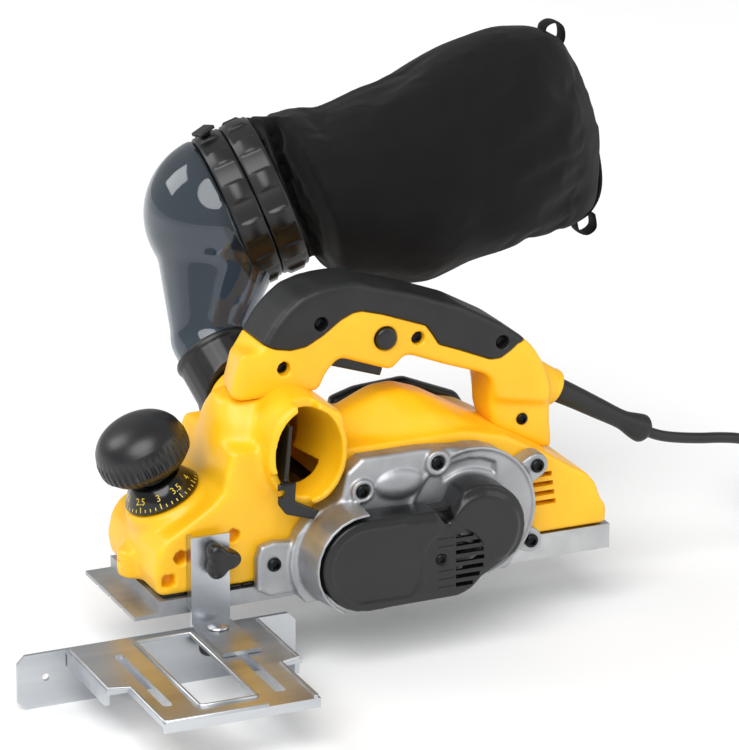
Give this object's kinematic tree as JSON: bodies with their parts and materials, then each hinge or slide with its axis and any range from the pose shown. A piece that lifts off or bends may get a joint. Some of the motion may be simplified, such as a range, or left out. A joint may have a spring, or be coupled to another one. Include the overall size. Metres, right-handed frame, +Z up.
{
  "type": "electric hand planer",
  "caption": "Corded electric hand planer with D handle, depth knob, belt drive, sliding edge fence, smoked swivel elbow, cloth dust bag and a coiled mains lead.",
  "frame": {"origin": "middle of the machine's base box, at the height of the fence guide's lower edge", "axes": "+X towards the rear and the mains lead, +Y towards the dust port, +Z up"},
  "size_m": [0.686, 0.345, 0.3376],
  "materials": {
    "yellow_plastic": "satin",
    "black_plastic": "satin",
    "black_rubber": "matte",
    "cord_sheath": "matte",
    "belt_rubber": "matte",
    "cast_aluminium": "satin",
    "drum_alloy": "satin",
    "zinc_steel": "satin",
    "machine_steel": "satin",
    "copper_winding": "satin",
    "black_steel": "satin",
    "smoked_clear": "gloss",
    "black_cloth": "matte"
  },
  "bodies": {
    "machine": {"main_housing": "yellow_plastic", "handle_shell_near": "yellow_plastic", "handle_shell_far": "yellow_plastic", "motor_end_cover": "black_plastic", "belt_cover": "black_plastic", "brush_ring": "black_plastic", "switch_body": "black_plastic", "plug": "black_plastic", "shoe_skirt": "black_rubber", "grip_near": "black_rubber", "grip_far": "black_rubber", "strain_relief": "black_rubber", "cord_run": "cord_sheath", "cord_coil": "cord_sheath", "cord_tail": "cord_sheath", "drive_belt": "belt_rubber", "rear_base": "cast_aluminium", "side_plate": "cast_aluminium", "drum_flank": "cast_aluminium", "drum_bearing_far": "machine_steel", "drum_bearing_near": "machine_steel", "stator": "machine_steel", "motor_bearing_near": "machine_steel", "motor_bearing_far": "machine_steel", "cover_screw": "black_steel", "plate_screw_1": "black_steel", "plate_screw_2": "black_steel", "plate_screw_3": "black_steel", "plate_screw_4": "black_steel", "plate_screw_5": "black_steel", "handle_screw_1": "black_steel", "handle_screw_2": "black_steel", "handle_screw_3": "black_steel", "handle_screw_4": "black_steel", "handle_screw_5": "black_steel"},
    "shoe": {"front_shoe": "cast_aluminium"},
    "depth_dial": {"depth_knob": "black_plastic", "depth_scale": "black_plastic", "depth_screw": "machine_steel"},
    "cutter": {"cutter_drum": "drum_alloy", "blade_1": "zinc_steel", "blade_2": "zinc_steel", "drum_pulley": "machine_steel"},
    "rotor": {"armature": "copper_winding", "cooling_fan": "black_plastic", "motor_pulley": "machine_steel"},
    "trigger": {"trigger": "black_plastic"},
    "lock_off": {"lock_off_button": "black_plastic"},
    "selector": {"chip_selector": "black_plastic"},
    "elbow": {"chute_adapter": "black_plastic", "dust_elbow": "smoked_clear", "elbow_collar": "black_plastic"},
    "latch": {"latch_button": "black_plastic"},
    "bag": {"bag_collar": "black_plastic", "dust_bag": "black_cloth"},
    "bracket": {"fence_bracket": "zinc_steel", "fence_bolt": "zinc_steel"},
    "bracket_clamp": {"bracket_knob": "black_plastic"},
    "fence": {"fence_plate": "zinc_steel"},
    "fence_clamp": {"fence_nut": "black_plastic"}
  },
  "joints": [
    {"name": "depth_turn", "type": "hinge", "parent": "machine", "child": "depth_dial", "pos_m": [-0.11858, 0.00551, 0.105], "axis": [-0.3987, 0, 0.9171], "range_deg": [-144, 144]},
    {"name": "shoe_rise", "type": "slide", "parent": "machine", "child": "shoe", "axis": [0, 0, 1], "range_m": [-0.002, 0.002]},
    {"name": "cutter_spin", "type": "hinge", "parent": "machine", "child": "cutter", "pos_m": [-0.01608, 0.00551, 0.07], "axis": [0, 1, 0], "continuous": true},
    {"name": "motor_spin", "type": "hinge", "parent": "machine", "child": "rotor", "pos_m": [0.06092, 0.00551, 0.082], "axis": [0, 1, 0], "continuous": true},
    {"name": "trigger_squeeze", "type": "hinge", "parent": "machine", "child": "trigger", "pos_m": [-0.00508, 0.00551, 0.186], "axis": [0, -1, 0], "range_deg": [0, 8], "stiffness_Nm_per_rad": 0.3, "springref_deg": -1.15},
    {"name": "lock_off_press", "type": "slide", "parent": "machine", "child": "lock_off", "axis": [0, 1, 0], "range_m": [-0.003, 0.003], "stiffness_N_per_m": 300},
    {"name": "selector_turn", "type": "hinge", "parent": "machine", "child": "selector", "pos_m": [-0.06008, 0.00551, 0.12], "axis": [0, 1, 0], "range_deg": [0, 50]},
    {"name": "elbow_swivel", "type": "hinge", "parent": "machine", "child": "elbow", "pos_m": [-0.04508, 0.05351, 0.138], "axis": [0, 1, 0], "range_deg": [-60, 15]},
    {"name": "bag_twist", "type": "hinge", "parent": "elbow", "child": "bag", "pos_m": [0.00392, 0.11551, 0.253], "axis": [0.9195, -0.1621, 0.3582], "range_deg": [0, 20]},
    {"name": "latch_slide", "type": "slide", "parent": "elbow", "child": "latch", "axis": [0.9195, -0.1621, 0.3582], "range_m": [0, 0.003], "stiffness_N_per_m": 200, "springref_m": -0.0005},
    {"name": "bracket_drop", "type": "slide", "parent": "machine", "child": "bracket", "axis": [0, 0, 1], "range_m": [-0.003, 0]},
    {"name": "bracket_clamp_turn", "type": "hinge", "parent": "machine", "child": "bracket_clamp", "pos_m": [-0.10308, -0.05449, 0.079], "axis": [0, 1, 0], "continuous": true},
    {"name": "fence_slide", "type": "slide", "parent": "bracket", "child": "fence", "axis": [0, 1, 0], "range_m": [0, 0.09]},
    {"name": "fence_clamp_turn", "type": "hinge", "parent": "bracket", "child": "fence_clamp", "pos_m": [-0.10758, -0.05549, 0.026], "axis": [0, 0, 1], "continuous": true}
  ],
  "couplings": [
    {"joint": "shoe_rise", "follows": "depth_turn", "m_per_rad": -0.00079577},
    {"joint": "motor_spin", "follows": "cutter_spin", "ratio": 1.6154}
  ]
}
